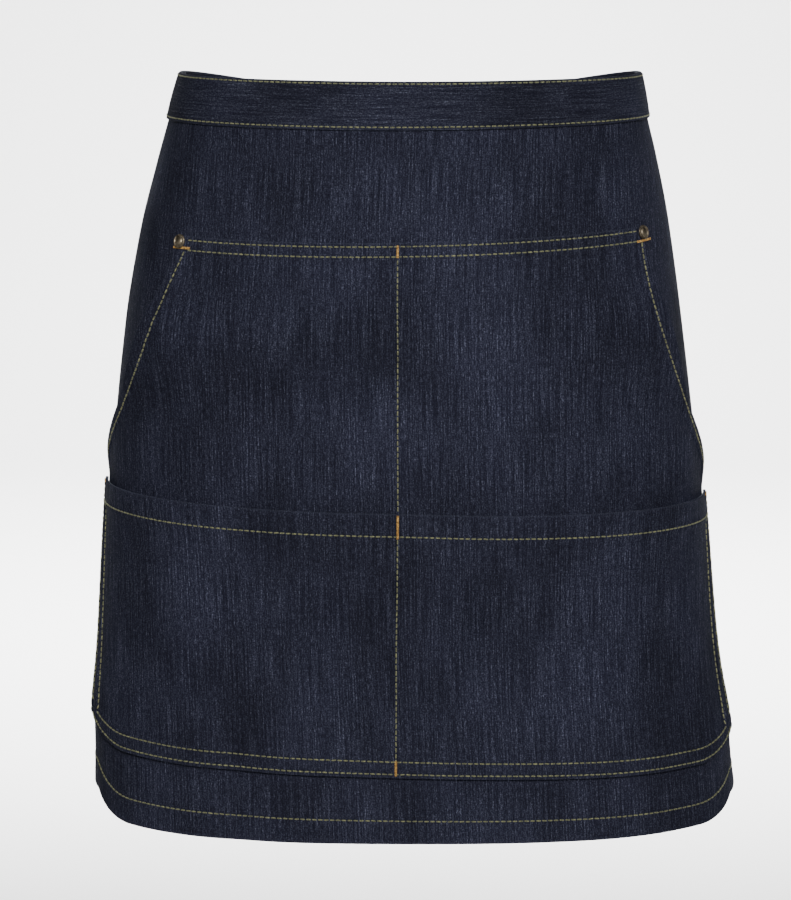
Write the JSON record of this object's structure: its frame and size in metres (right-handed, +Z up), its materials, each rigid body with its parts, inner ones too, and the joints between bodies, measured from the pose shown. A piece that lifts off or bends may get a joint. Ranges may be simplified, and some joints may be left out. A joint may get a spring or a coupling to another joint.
{
  "type": "waist apron",
  "caption": "Short denim waist apron with a folded waistband, layered patch pockets with slanted hand mouths, corner rivets and straps knotted behind.",
  "frame": {"origin": "centre of the waist ring, at half the waistband's height", "axes": "+Z up, the front faces -Y, +X is to the right in the front view"},
  "size_m": [0.448, 0.2504, 0.5073],
  "materials": {
    "denim": "dark indigo denim, matt",
    "brass": "antique brass"
  },
  "bodies": {
    "root": {"main_panel": "denim", "waistband": "denim", "upper_pocket": "denim", "lower_pocket": "denim", "rivet_left": "brass", "rivet_right": "brass", "tie_left": "denim", "tie_right": "denim", "back_knot": "denim", "tail_left": "denim", "tail_right": "denim"}
  },
  "joints": []
}
